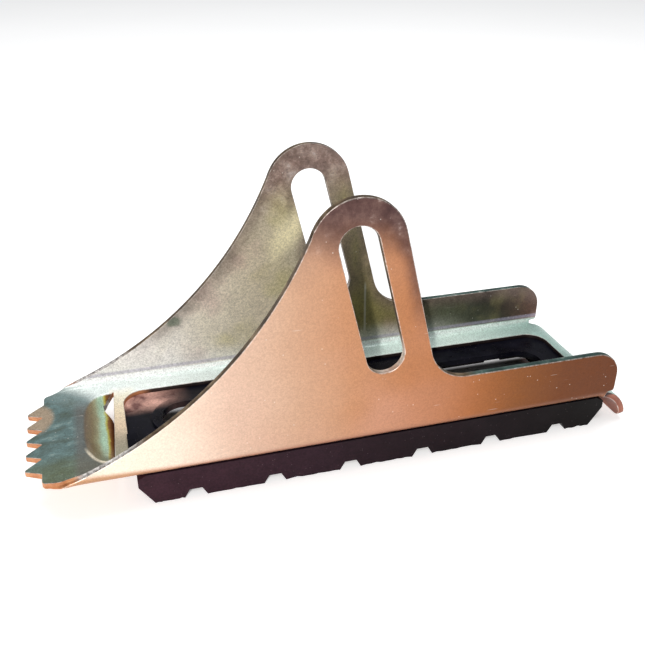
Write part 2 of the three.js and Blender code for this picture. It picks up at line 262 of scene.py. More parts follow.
def wing_height_line():
    """The wing's free edge from the rear rail over the post to the toe, as (v, z)."""
    seat = (LOOP_V + (LOOP_RADIUS + SEAT_RADIUS) * math.cos(SEAT_BEARING),
            LOOP_Z + (LOOP_RADIUS + SEAT_RADIUS) * math.sin(SEAT_BEARING))
    blend_z = SHEET + TOE_BLEND
    blend_v = seat[0] + math.sqrt((SEAT_RADIUS - TOE_BLEND) ** 2 - (seat[1] - blend_z) ** 2)
    blend_angle = math.atan2(blend_z - seat[1], blend_v - seat[0])
    post_v = LOOP_V + LOOP_RADIUS / math.cos(LEAN) + (LOOP_Z - RAIL_HEIGHT) * math.tan(LEAN)
    fillet_v = post_v + POST_FILLET * math.tan((math.pi / 2 - LEAN) / 2)
    line = []
    line += arc((-RAIL_CORNER, RAIL_HEIGHT - RAIL_CORNER), RAIL_CORNER, 0, math.pi / 2, 1.4)
    line += arc((fillet_v, RAIL_HEIGHT + POST_FILLET), POST_FILLET,
                math.pi * 1.5, math.pi + LEAN, 1.6)
    line += arc((LOOP_V, LOOP_Z), LOOP_RADIUS, LEAN, SEAT_BEARING, 1.4)
    line += arc(seat, SEAT_RADIUS, SEAT_BEARING - math.pi, blend_angle, 3.0)
    line += arc((blend_v, blend_z), TOE_BLEND, blend_angle, -math.pi / 2, 1.5)
    return line


def toe_side_u(v, z):
    """How far up the fold the sheet's edge lies, where wing and toe meet."""
    if z >= FOLD_OUTER:
        by_height = WING_FOOT_U + (z - FOLD_OUTER)
    else:
        by_height = FLAT_HALF + FOLD_MID * math.acos(max(-1.0, min(1.0, (FOLD_OUTER - z) / FOLD_MID)))
    taper = (TOE_TAPER_V - v) / (TOE_TAPER_V - (TOE_V + TOE_CORNER))
    if taper <= 0:
        return by_height
    y = HALF_WIDTH - (HALF_WIDTH - TOE_HALF) * taper
    by_width = FLAT_HALF + FOLD_MID * math.asin(max(0.0, min(1.0, (y - FLAT_HALF) / FOLD_MID)))
    return min(by_height, by_width)


def blank_outline():
    """The blank's outer edge as (v, u), anticlockwise, starting at the claw's middle."""
    claw_end = math.pi / 2 - CLAW_TURN
    claw_run = (SHEET - CLAW_RADIUS + (CLAW_RADIUS - SHEET) * math.sin(claw_end)
                - CLAW_FOOT_Z) / math.cos(claw_end)
    claw_v = CLAW_START + CLAW_MID * CLAW_TURN + claw_run
    side = rounded_corners(
        [(claw_v, 0.0), (claw_v, CLAW_HALF), (-2.7, CLAW_HALF), (-3.6, CLAW_HALF + 1.0),
         (-3.4, CLAW_HALF + 2.4), (-0.2, WING_FOOT_U - 0.8), (0.0, WING_FOOT_U + 1.0), (0.0, 60.0)],
        [0, CLAW_CORNER, 0.5, 0.6, 0.7, 1.0, 0, 0], 6)[:-1]
    upper = []
    last_v = None
    for v, z in wing_height_line():
        if v < TOE_V + TOE_CORNER:
            break
        if last_v is not None and v < DIP_V - 9 and last_v - v < 0.7:
            continue
        upper.append((v, toe_side_u(v, z)))
        last_v = v
    upper = [p for p in upper if p[0] > TOE_V + TOE_CORNER + 0.6]
    corner = [(TOE_V + TOE_CORNER + TOE_CORNER * math.cos(t), TOE_HALF - TOE_CORNER
               + TOE_CORNER * math.sin(t)) for t in np.linspace(math.pi / 2, math.pi, 6)]
    half_row = TEETH / 2 * TOOTH_PITCH
    side = side + upper + corner
    teeth = [(TOE_V, half_row + 1.4)]
    teeth_r = [0.0]
    for tooth in range(TEETH):
        middle = ((TEETH - 1) / 2 - tooth) * TOOTH_PITCH
        teeth += [(TOE_V, middle + TOOTH_PITCH / 2), (TOE_TIP_V, middle)]
        teeth_r += [0.5, 1.15]
    teeth += [(TOE_V, -half_row), (TOE_V, -half_row - 1.4)]
    teeth_r += [0.5, 0.0]
    row = rounded_corners(teeth, teeth_r, 4)
    row = [(max(v, TOE_TIP_V), u) for v, u in row]
    far = [(v, -u) for v, u in reversed(side[1:])]
    return side + row + far


def slot_loop(side):
    low = (LOOP_V + SLOT_REACH * math.sin(LEAN), LOOP_Z - SLOT_REACH * math.cos(LEAN))
    across = math.atan2(LOOP_Z - low[1], LOOP_V - low[0])
    line = arc((LOOP_V, LOOP_Z), SLOT_RADIUS, across - math.pi / 2, across + math.pi / 2, 1.2)
    line += arc(low, SLOT_RADIUS, across + math.pi / 2, across + math.pi * 1.5, 1.2)
    return [(v, side * (WING_FOOT_U + z - FOLD_OUTER)) for v, z in line]


def box_loop(v0, v1, half, corner):
    line = []
    for cv, cu, start in ((v1 - corner, half - corner, 0), (v0 + corner, half - corner, 0.5),
                          (v0 + corner, corner - half, 1.0), (v1 - corner, corner - half, 1.5)):
        line += arc((cv, cu), corner, start * math.pi, (start + 0.5) * math.pi, 1.0)
    return line


def slit_loop():
    """The cut behind the tongue: narrow along the near part, open at the far end."""
    reach = SCOOP_HALF * 0.985
    tongue = [(float(tongue_end(u)), u) for u in np.linspace(-reach, reach, 25)]
    corners = [0.18] + [0] * 23 + [0.18]
    return rounded_corners(tongue + [(slit_rear(reach), reach), (slit_rear(-reach), -reach)],
                           corners + [0.18, 0.18], 3)


def area_of(loop):
    return 0.5 * sum(a[0] * b[1] - b[0] * a[1] for a, b in zip(loop, loop[1:] + loop[:1]))


def inside(points, loop):
    """Which points lie inside a closed line."""
    px, py = points[:, 0], points[:, 1]
    hit = np.zeros(len(points), dtype=bool)
    a = np.array(loop)
    b = np.roll(a, -1, axis=0)
    for (x0, y0), (x1, y1) in zip(a, b):
        if y0 == y1:
            continue
        crosses = ((y0 > py) != (y1 > py)) & (px < (x1 - x0) * (py - y0) / (y1 - y0) + x0)
        hit ^= crosses
    return hit


def distance_to(points, loop):
    a = np.array(loop)
    b = np.roll(a, -1, axis=0)
    best = np.full(len(points), 1e9)
    for p, q in zip(a, b):
        d = q - p
        t = np.clip(((points - p) @ d) / max(d @ d, 1e-12), 0, 1)
        best = np.minimum(best, np.linalg.norm(points - p - t[:, None] * d, axis=1))
    return best


def inset(loop, amount):
    """The loop moved to its left by an amount at every point, with mitred corners."""
    a = np.array(loop)
    before, after = a - np.roll(a, 1, axis=0), np.roll(a, -1, axis=0) - a
    before /= np.linalg.norm(before, axis=1)[:, None]
    after /= np.linalg.norm(after, axis=1)[:, None]
    n0 = np.stack((-before[:, 1], before[:, 0]), axis=1)
    n1 = np.stack((-after[:, 1], after[:, 0]), axis=1)
    n = n0 + n1
    n /= np.linalg.norm(n, axis=1)[:, None]
    stretch = np.minimum(1.0 / np.maximum(np.sum(n * n0, axis=1), 0.2), 1.6)
    return a + n * (amount * stretch)[:, None], n


def grid_points(outline, holes, rings):
    """Inner points of the blank: close together where it bends, wide apart where it is flat."""
    fold_u = [FLAT_HALF + FOLD_LENGTH * k / 10 for k in range(11)]
    flat_u = [0, 5, 10, 15, 20, 25, 28.5]
    wing_u = [WING_FOOT_U + 6 * k for k in range(1, 20)]
    v_lines = list(np.arange(-236, -8, 6.0))
    points = []
    for u in flat_u + fold_u + wing_u:
        for v in v_lines:
            points.append((v, u))
            if u > 0:
                points.append((v, -u))
    for v in np.arange(-262, -236, 1.6):
        for u in np.arange(-36.6, 36.7, 1.6):
            points.append((v, u))
    for v in np.arange(SCOOP_FRONT - 1, SLIT_REAR, 0.8):
        for u in np.arange(-27.5, 27.6, 0.9):
            points.append((v + 0.2, u))
    for v in np.arange(-8, 20, 1.2):
        for u in list(np.arange(-34, 34.1, 4.0)) + [s * (FLAT_HALF + 0.66 * k) for k in range(-1, 11)
                                                    for s in (-1, 1)]:
            points.append((v, u))
    points = np.array(points)
    keep = inside(points, outline)
    for hole in holes:
        keep &= ~inside(points, hole)
    points = points[keep]
    near = np.full(len(points), 1e9)
    for loop in rings:
        near = np.minimum(near, distance_to(points, loop))
    points = points[near > 0.62]
    order = np.lexsort((points[:, 1], points[:, 0]))
    kept = []
    cells = {}
    for p in points[order]:
        key = (int(p[0] // 0.6), int(p[1] // 0.6))
        around = [(key[0] + i, key[1] + j) for i in (-1, 0, 1) for j in (-1, 0, 1)]
        close = any((p[0] - q[0]) ** 2 + (p[1] - q[1]) ** 2 < 0.3
                    for cell in around for q in cells.get(cell, ()))
        if not close:
            cells.setdefault(key, []).append(p)
            kept.append(p)
    return kept


ROLL_OVER, BURR = 0.55, 0.28
NUDGE = 0.02  # a step for measuring the sheet's slope
RIM_FAR = 20.0  # distances from a free edge are kept up to this


def build_steel():
    outline = resampled(blank_outline(), 2.4)
    holes = [resampled(slot_loop(1), 2.4), resampled(slot_loop(-1), 2.4),
             resampled(box_loop(WINDOW_FRONT, WINDOW_REAR, WINDOW_HALF, WINDOW_CORNER), 3.0),
             resampled(slit_loop(), 1.1)]
    if area_of(outline) < 0:
        outline.reverse()
    for hole in holes:
        if area_of(hole) > 0:
            hole.reverse()
    loops = [outline] + holes
    # the arris: a small roll-over on the outer face, a tighter one with a burr inside
    profile = []
    for k in range(4):
        t = math.pi / 2 * k / 3
        profile.append((ROLL_OVER * (1 - math.sin(t)), ROLL_OVER * (1 - math.cos(t)), t))
    for k in range(3):
        t = math.pi / 2 * k / 2
        profile.append((BURR * (1 - math.cos(t)), SHEET - BURR * (1 - math.sin(t)), math.pi / 2 + t))
    ring_loops = [[tuple(p) for p in inset(loop, ROLL_OVER)[0]] for loop in loops]
    inner = grid_points(outline, holes, ring_loops + loops)
    ring_count = sum(len(loop) for loop in loops)
    flat_points = [p for loop in ring_loops for p in loop] + [tuple(p) for p in inner]
    edges = []
    start = 0
    for loop in loops:
        n = len(loop)
        edges += [(start + i, start + (i + 1) % n) for i in range(n)]
        start += n
    got = delaunay_2d_cdt([Vector(p) for p in flat_points], edges, [], 0, 1e-5, True)
    cdt_points = np.array([tuple(p) for p in got[0]])
    source = [ids[0] if ids else -1 for ids in got[3]]
    tris = np.array([list(f) for f in got[2]])
    middle = cdt_points[tris].mean(axis=1)
    keep = inside(middle, ring_loops[0])
    for loop in ring_loops[1:]:
        keep &= ~inside(middle, loop)
    tris = tris[keep]

    # vertices: outer face, inner face, then the rounded edge between them
    where = cdt_points
    total = len(where)
    uv = [where]
    heights = [np.zeros(total)]
    tilt = [np.zeros(total)]
    outward = [np.zeros((total, 2))]
    uv.append(where.copy())
    heights.append(np.full(total, SHEET))
    tilt.append(np.full(total, math.pi))
    outward.append(np.zeros((total, 2)))
    at = {}
    for index, s in enumerate(source):
        if 0 <= s < ring_count:
            at[s] = index
    loop_base = []
    base = 2 * total
    start = 0
    # the inner face stops at the burr, not at the wider roll-over
    for loop in loops:
        n = len(loop)
        _, normal = inset(loop, ROLL_OVER)
        tight = inset(loop, BURR)[0]
        for i in range(n):
            if start + i in at:
                uv[1][at[start + i]] = tight[i]
        rings = []
        for depth, height, angle in profile[1:-1]:
            ring = inset(loop, depth)[0]
            uv.append(ring)
            heights.append(np.full(n, height))
            tilt.append(np.full(n, angle))
            outward.append(-normal)
            rings.append(base)
            base += n
        loop_base.append((start, n, rings))
        start += n
    uv = np.concatenate(uv)
    heights = np.concatenate(heights)
    tilt = np.concatenate(tilt)
    outward = np.concatenate(outward)

    def at_map(p, h):
        return folded(p[:, 1], p[:, 0], h)

    spots = at_map(uv, heights)
    step_v = (at_map(uv + (NUDGE, 0), heights) - at_map(uv - (NUDGE, 0), heights)) / (2 * NUDGE)
    step_u = (at_map(uv + (0, NUDGE), heights) - at_map(uv - (0, NUDGE), heights)) / (2 * NUDGE)
    face = np.cross(step_u, step_v)
    face /= np.maximum(np.linalg.norm(face, axis=1), 1e-9)[:, None]
    probe = at_map(uv, np.full(len(uv), 0.0)) - at_map(uv, np.full(len(uv), SHEET))
    face *= np.where(np.sum(face * probe, axis=1) < 0, -1.0, 1.0)[:, None]
    away = step_v * outward[:, :1] + step_u * outward[:, 1:]
    away = away / np.maximum(np.linalg.norm(away, axis=1), 1e-9)[:, None]
    normals = face * np.cos(tilt)[:, None] + away * np.sin(tilt)[:, None]
    normals /= np.maximum(np.linalg.norm(normals, axis=1), 1e-9)[:, None]

    faces = []
    flags = []
    for a, b, c in tris:
        faces.append((int(a), int(b), int(c)))
        faces.append((int(a) + total, int(c) + total, int(b) + total))
        flags += [0.0, 0.0]
    levels = len(profile) - 1
    for first, n, rings in loop_base:
        for i in range(n):
            j = (i + 1) % n
            chain_i = [at[first + i]] + [r + i for r in rings] + [at[first + i] + total]
            chain_j = [at[first + j]] + [r + j for r in rings] + [at[first + j] + total]
            for k in range(levels):
                faces.append((chain_i[k], chain_i[k + 1], chain_j[k + 1], chain_j[k]))
                flags.append(1.0)
    mesh = bpy.data.meshes.new("steel_body_skin")
    mesh.from_pydata([tuple(p) for p in placed(spots)], [], faces)
    mesh.validate(verbose=False)
    mesh.update()
    # outward faces
    bm = bmesh.new()
    bm.from_mesh(mesh)
    bmesh.ops.recalc_face_normals(bm, faces=bm.faces)
    bm.to_mesh(mesh)
    bm.free()
    reach = np.full(len(uv), RIM_FAR)
    for loop in loops[:3]:
        reach = np.minimum(reach, distance_to(uv, loop))
    for name, values in (("cut_edge", np.clip(np.sin(tilt), 0.0, 1.0)), ("rim_distance", reach),
                         ("inner_side", heights / SHEET)):
        mesh.attributes.new(name, "FLOAT", "POINT").data.foreach_set("value", values.astype(np.float32))
    mesh.polygons.foreach_set("use_smooth", [True] * len(mesh.polygons))
    mesh.normals_split_custom_set_from_vertices([tuple(n) for n in normals])
    return linked("steel_body_skin", mesh)


# ---- the rubber sole ----
HOLE_FRONT, HOLE_REAR, HOLE_HALF = -204.3, -16.7, 10.2
RIM_TOP, RIM_WIDTH, PLUG_TOP = 2.6, 4.4, 1.0
PLUG_GAP = 0.3
FOOT_HALF = 35.2
FLASH_RISE, FLASH_IN = 0.45, 0.25


def applied(obj):
    """The object's modifiers worked into its mesh."""
    graph = bpy.context.evaluated_depsgraph_get()
    mesh = bpy.data.meshes.new_from_object(obj.evaluated_get(graph))
    old = obj.data
    obj.modifiers.clear()
    obj.data = mesh
    bpy.data.meshes.remove(old)
    return obj


def nearest(spot, loop):
    """The point of a closed line nearest to a spot."""
    a = np.array(loop)
    d = np.roll(a, -1, axis=0) - a
    t = np.clip(np.sum((spot - a) * d, axis=1) / np.maximum(np.sum(d * d, axis=1), 1e-12), 0, 1)
    found = a + d * t[:, None]
    return found[np.argmin(np.linalg.norm(found - spot, axis=1))]


def sole_block():
    """The moulded block, taken from the frame's solid, with soft arrises and a ragged flash line."""
    bm = bmesh.new()
    bm.from_mesh(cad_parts["rubber_sole"].data)
    bmesh.ops.remove_doubles(bm, verts=bm.verts, dist=2e-6)
    bmesh.ops.dissolve_limit(bm, angle_limit=math.radians(0.6), verts=bm.verts, edges=bm.edges)

    def at_foot(v):
        return v.co.z < 0.2 * MM and abs(abs(v.co.y) - FOOT_HALF * MM) < 0.1 * MM

    foot = [e for e in bm.edges if all(at_foot(v) for v in e.verts) and e.calc_length() > 4 * MM]
    bmesh.ops.subdivide_edges(bm, edges=foot, cuts=9)
    draw = random.Random(11)
    for v in bm.verts:
        if at_foot(v) and len(v.link_edges) == 2:
            v.co.z += draw.random() ** 2 * FLASH_RISE * MM
            v.co.y -= math.copysign(draw.random() * FLASH_IN * MM, v.co.y)
    # the soft plug swells until it fills the window
    window = np.array(box_loop(WINDOW_FRONT, WINDOW_REAR, WINDOW_HALF, WINDOW_CORNER))
    for v in bm.verts:
        spot = np.array((v.co.x / MM - SHIFT_X, v.co.y / MM))
        if v.co.z > (SHIFT_Z - 0.1) * MM and inside(spot[None, :], window)[0]:
            near = nearest(spot, window)
            if np.linalg.norm(near - spot) < PLUG_GAP + 0.1:
                v.co.x, v.co.y = (near[0] + SHIFT_X) * MM, near[1] * MM
    mesh = bpy.data.meshes.new("sole_block")
    bm.to_mesh(mesh)
    bm.free()
    block = linked("sole_block", mesh)
    bevel = block.modifiers.new("arris", "BEVEL")
    bevel.width, bevel.segments = 0.55 * MM, 3
    bevel.limit_method, bevel.angle_limit = "ANGLE", math.radians(32)
    bevel.use_clamp_overlap = True
    return applied(block)


def rim_section():
    """The rim's section as (reach from the hole's axis, height), from its foot over its crown."""
    outer, wall = HOLE_HALF + RIM_WIDTH + 0.5, HOLE_HALF - 0.22
    half = (outer - wall) / 2
    line = [(outer + 0.7, PLUG_TOP - 0.5), (outer + 0.5, PLUG_TOP + 0.02), (outer + 0.1,
                                                                            PLUG_TOP + 0.2)]
    for k in range(1, 12):
        t = math.pi * k / 12
        line.append((outer - half + half * math.cos(t) * 0.97,
                     PLUG_TOP + 0.2 + (RIM_TOP - PLUG_TOP - 0.18) * math.sin(t) ** 0.62))
    return line + [(wall, PLUG_TOP - 0.1), (wall, -0.5), (wall + 0.6, -0.9), (outer - 1.5, -0.9)]


def sweep_tree():
    """Carries a section round a long, round-ended path."""
    tree = bpy.data.node_groups.new("rim_sweep", "GeometryNodeTree")
    made = {}
    for label, kind, value in (
            ("Section", "Geometry", None), ("Length", "Float", 0.1), ("Reach", "Float", 0.01),
            ("Centre", "Vector", None), ("Steps", "Int", 32), ("Material", "Material", None)):
        socket = tree.interface.new_socket(label, in_out="INPUT", socket_type="NodeSocket" + kind)
        if value is not None:
            socket.default_value = value
        made[label] = socket.identifier
    tree.interface.new_socket("Ring", in_out="OUTPUT", socket_type="NodeSocketGeometry")
    add, link = tree.nodes.new, tree.links.new
    given, out = add("NodeGroupInput").outputs, add("NodeGroupOutput")
    across = add("ShaderNodeMath")
    across.operation = "MULTIPLY"
    link(given["Reach"], across.inputs[0])
    across.inputs[1].default_value = 2.0
    box = add("GeometryNodeCurvePrimitiveQuadrilateral")
    link(given["Length"], box.inputs["Width"])
    link(across.outputs[0], box.inputs["Height"])
    round_ends = add("GeometryNodeFilletCurve")
    round_ends.mode = "POLY"
    link(box.outputs[0], round_ends.inputs["Curve"])
    link(given["Steps"], round_ends.inputs["Count"])
    link(given["Reach"], round_ends.inputs["Radius"])
    up = add("GeometryNodeSetCurveNormal")
    up.mode = "Z_UP"
    link(round_ends.outputs[0], up.inputs["Curve"])
    sweep = add("GeometryNodeCurveToMesh")
    link(up.outputs[0], sweep.inputs["Curve"])
    link(given["Section"], sweep.inputs["Profile Curve"])
    shift = add("GeometryNodeTransform")
    link(sweep.outputs[0], shift.inputs["Geometry"])
    link(given["Centre"], shift.inputs["Translation"])
    real = add("GeometryNodeRealizeInstances")
    link(shift.outputs[0], real.inputs[0])
    paint = add("GeometryNodeSetMaterial")
    link(real.outputs[0], paint.inputs["Geometry"])
    link(given["Material"], paint.inputs["Material"])
    link(paint.outputs[0], out.inputs[0])
    return tree, made


def rim_ring(material):
    """The rounded rim round the long hole, with the smooth wall of the hole under it."""
    section = bpy.data.curves.new("rim_section", "CURVE")
    line = rim_section()
    spline = section.splines.new("POLY")
    spline.points.add(len(line) - 1)
    for point, (reach, z) in zip(spline.points, line):
        point.co = ((reach - HOLE_HALF) * MM, z * MM, 0.0, 1.0)
    spline.use_cyclic_u = True
    ring = linked("rim_ring", section)
    tree, sockets = sweep_tree()
    sweep = ring.modifiers.new("sweep", "NODES")
    sweep.node_group = tree
    middle = placed([((HOLE_FRONT + HOLE_REAR) / 2, 0.0, 0.0)])[0]
    for label, value in (("Length", (HOLE_REAR - HOLE_FRONT) * MM), ("Reach", HOLE_HALF * MM),
                         ("Centre", tuple(middle)), ("Steps", 30), ("Material", material)):
        sweep[sockets[label]] = value
    graph = bpy.context.evaluated_depsgraph_get()
    mesh = bpy.data.meshes.new_from_object(ring.evaluated_get(graph))
    bpy.data.objects.remove(ring)
    bm = bmesh.new()
    bm.from_mesh(mesh)
    bmesh.ops.remove_doubles(bm, verts=bm.verts, dist=1e-6)
    bmesh.ops.recalc_face_normals(bm, faces=bm.faces)
    bm.to_mesh(mesh)
    bm.free()
    return linked("rim_ring", mesh)


def build_sole(material):
    block, ring = sole_block(), rim_ring(material)
    block.data.materials.clear()
    block.data.materials.append(material)
    join = block.modifiers.new("rim", "BOOLEAN")
    join.operation, join.solver, join.object = "UNION", "EXACT", ring
    applied(block)
    bpy.data.objects.remove(ring)
    block.name = block.data.name = "rubber_sole_moulding"
    block.data.polygons.foreach_set("use_smooth", [True] * len(block.data.polygons))
    block.data.set_sharp_from_angle(angle=math.radians(38))
    weighted = block.modifiers.new("shading", "WEIGHTED_NORMAL")
    weighted.keep_sharp = True
    applied(block)
    for v in block.data.vertices:
        v.co.z = max(v.co.z, 0.0)
    return block


# ---- materials ----
class Nodes:
    """Short words for wiring shader nodes in one tree."""

    def __init__(self, tree):
        self.tree = tree

    def add(self, kind, inputs=None, **settings):
        node = self.tree.nodes.new(kind)
        for key, value in settings.items():
            setattr(node, key, value)
        for key, value in (inputs or {}).items():
            self.put(node.inputs[key], value)
        return node

    def put(self, socket, value):
        if isinstance(value, bpy.types.NodeSocket):
            self.tree.links.new(value, socket)
        else:
            socket.default_value = value

    def math(self, operation, a, b=0.0, clamp=False):
        node = self.add("ShaderNodeMath", operation=operation, use_clamp=clamp)
        self.put(node.inputs[0], a)
        self.put(node.inputs[1], b)
        return node.outputs[0]

    def plus(self, a, b):
        return self.math("ADD", a, b)

    def minus(self, a, b):
        return self.math("SUBTRACT", a, b)

    def times(self, a, b):
        return self.math("MULTIPLY", a, b)

    def band(self, value, low, risen, full, high):
        """1 between two limits and 0 beyond them."""
        return self.times(self.step(value, low, risen), self.step(value, full, high))

    def layer(self, colour, mask, share, over):
        """A second colour laid over a first, as strong as its mask and share say."""
        return self.mix(self.times(mask, share), colour, over)

    def group(self, tree, **inputs):
        return self.add("ShaderNodeGroup", inputs, node_tree=tree).outputs

    def shaded(self, colour, shade):
        """A colour made lighter or darker by a number."""
        grey = self.add("ShaderNodeCombineColor", {"Red": shade, "Green": shade, "Blue": shade})
        return self.mix(1.0, colour, grey.outputs[0], "MULTIPLY")

    def oval(self, a, a_middle, a_scale, b, b_middle, b_scale):
        """Squared distance from a middle, in an oval's own measure."""
        a = self.times(self.plus(a, -a_middle), a_scale)
        b = self.times(self.plus(b, -b_middle), b_scale)
        return self.plus(self.times(a, a), self.times(b, b))

    def step(self, value, low, high, to_low=0.0, to_high=1.0):
        node = self.add("ShaderNodeMapRange", interpolation_type="SMOOTHSTEP")
        for key, v in zip(("Value", "From Min", "From Max", "To Min", "To Max"),
                          (value, low, high, to_low, to_high)):
            self.put(node.inputs[key], v)
        return node.outputs[0]

    def mix(self, factor, a, b, blend="MIX"):
        node = self.add("ShaderNodeMix", data_type="RGBA", blend_type=blend)
        self.put(node.inputs["Factor"], factor)
        self.put(node.inputs[6], a if isinstance(a, bpy.types.NodeSocket) else (*a, 1.0))
        self.put(node.inputs[7], b if isinstance(b, bpy.types.NodeSocket) else (*b, 1.0))
        return node.outputs[2]

    def ramp(self, value, stops, low=None, high=None):
        """A run of colours; the stops' places are in the value's own unit."""
        low = stops[0][0] if low is None else low
        high = stops[-1][0] if high is None else high
        share = self.add("ShaderNodeMapRange", {"Value": value, "From Min": low, "From Max": high})
        node = self.add("ShaderNodeValToRGB", {"Fac": share.outputs[0]})
        marks = node.color_ramp.elements
        while len(marks) < len(stops):
            marks.new(0.5)
        for mark, (place, colour) in zip(marks, stops):
            mark.position = (place - low) / (high - low)
            mark.color = (*colour, 1.0)
        return node.outputs["Color"]

    def noise(self, vector, scale, detail=3.0, rough=0.55, stretch=None):
        if stretch:
            vector = self.add("ShaderNodeMapping", {"Vector": vector, "Scale": stretch}).outputs[0]
        return self.add("ShaderNodeTexNoise", {"Vector": vector, "Scale": scale, "Detail": detail,
                                               "Roughness": rough}).outputs["Fac"]


def new_group(name, inputs, outputs):
    tree = bpy.data.node_groups.new(name, "ShaderNodeTree")
    for label, kind, value in inputs:
        socket = tree.interface.new_socket(label, in_out="INPUT", socket_type=kind)
        if value is not None:
            socket.default_value = value
    for label, kind in outputs:
        tree.interface.new_socket(label, in_out="OUTPUT", socket_type=kind)
    return tree, Nodes(tree), tree.nodes.new("NodeGroupInput"), tree.nodes.new("NodeGroupOutput")


def speck_group():
    """Small scattered specks: bright crystals on the zinc, dust on the rubber."""
    tree, n, inside_, out = new_group(
        "specks", [("Place", "NodeSocketVector", None), ("Scale", "NodeSocketFloat", 900.0),
                   ("Amount", "NodeSocketFloat", 0.3)], [("Mask", "NodeSocketFloat")])
    cells = n.add("ShaderNodeTexVoronoi", {"Vector": inside_.outputs["Place"],
                                           "Scale": inside_.outputs["Scale"]})
    patch = n.noise(inside_.outputs["Place"], 90.0, 2.0)
    near = n.step(cells.outputs["Distance"], 0.26, 0.10)
    pick = n.add("ShaderNodeSeparateColor", {"Color": cells.outputs["Color"]}).outputs[0]
    limit = n.minus(1.0, n.times(inside_.outputs["Amount"], patch))
    chosen = n.math("GREATER_THAN", pick, limit)
    n.put(out.inputs["Mask"], n.times(near, chosen))
    return tree


def grain_group():
    """Fine tooth of a surface: a colour wobble and a height for the bump."""
    tree, n, inside_, out = new_group(
        "grain", [("Place", "NodeSocketVector", None), ("Fine", "NodeSocketFloat", 1500.0),
                  ("Coarse", "NodeSocketFloat", 120.0)],
        [("Wobble", "NodeSocketFloat"), ("Height", "NodeSocketFloat")])
    fine = n.noise(inside_.outputs["Place"], inside_.outputs["Fine"], 2.0, 0.6)
    coarse = n.noise(inside_.outputs["Place"], inside_.outputs["Coarse"], 3.0)
    wobble = n.plus(n.times(fine, 0.65), n.times(coarse, 0.35))
    n.put(out.inputs["Wobble"], wobble)
    n.put(out.inputs["Height"], n.plus(n.times(fine, 0.5), coarse))
    return tree


def wear_and_highlight_group():
    """Where an arris is rubbed bright or left burred, from a mask of the cut edge; the bright line is
    partly wear and partly a painted highlight on the rounded arris.
    """
    tree, n, inside_, out = new_group(
        "edge_wear_and_highlight", [("Place", "NodeSocketVector", None), ("Edge", "NodeSocketFloat", 0.0),
                      ("Scale", "NodeSocketFloat", 500.0), ("Amount", "NodeSocketFloat", 0.5)],
        [("Mask", "NodeSocketFloat")])
    rise = n.step(inside_.outputs["Edge"], 0.10, 0.45)
    fall = n.step(inside_.outputs["Edge"], 0.995, 0.80)
    rough = n.noise(inside_.outputs["Place"], inside_.outputs["Scale"], 4.0, 0.7)
    broken = n.step(rough, n.minus(0.75, n.times(inside_.outputs["Amount"], 0.5)), 0.8)
    n.put(out.inputs["Mask"], n.math("MULTIPLY", n.times(rise, fall), broken, True))
    return tree


def scuff_group():
    """Short fine scratches running roughly along the part."""
    tree, n, inside_, out = new_group(
        "scuffs", [("Place", "NodeSocketVector", None), ("Amount", "NodeSocketFloat", 0.5)],
        [("Mask", "NodeSocketFloat")])
    turned = n.add("ShaderNodeMapping", {"Vector": inside_.outputs["Place"],
                                         "Rotation": (0.0, 0.35, 0.0),
                                         "Scale": (0.10, 1.0, 1.6)}).outputs[0]
    thin = n.noise(turned, 620.0, 2.0, 0.5)
    patch = n.noise(inside_.outputs["Place"], 22.0, 2.0)
    limit = n.minus(0.86, n.times(inside_.outputs["Amount"], n.times(patch, 0.44)))
    n.put(out.inputs["Mask"], n.step(thin, limit, n.plus(limit, 0.04)))
    return tree


specks, grain, edge_wear_and_highlight, scuffs = speck_group(), grain_group(), wear_and_highlight_group(), scuff_group()


def start_material(name):
    material = bpy.data.materials.new(name)
    material.use_nodes = True
    tree = material.node_tree
    n = Nodes(tree)
    place = n.add("ShaderNodeTexCoord").outputs["Object"]
    axes = n.add("ShaderNodeSeparateXYZ", {"Vector": place})
    x = n.minus(n.times(axes.outputs["X"], 1000.0), SHIFT_X)
    y = n.times(axes.outputs["Y"], 1000.0)
    z = n.minus(n.times(axes.outputs["Z"], 1000.0), SHIFT_Z)
    return material, n, tree.nodes["Principled BSDF"], place, x, y, z


def attribute(n, name):
    return n.add("ShaderNodeAttribute", attribute_name=name).outputs["Fac"]


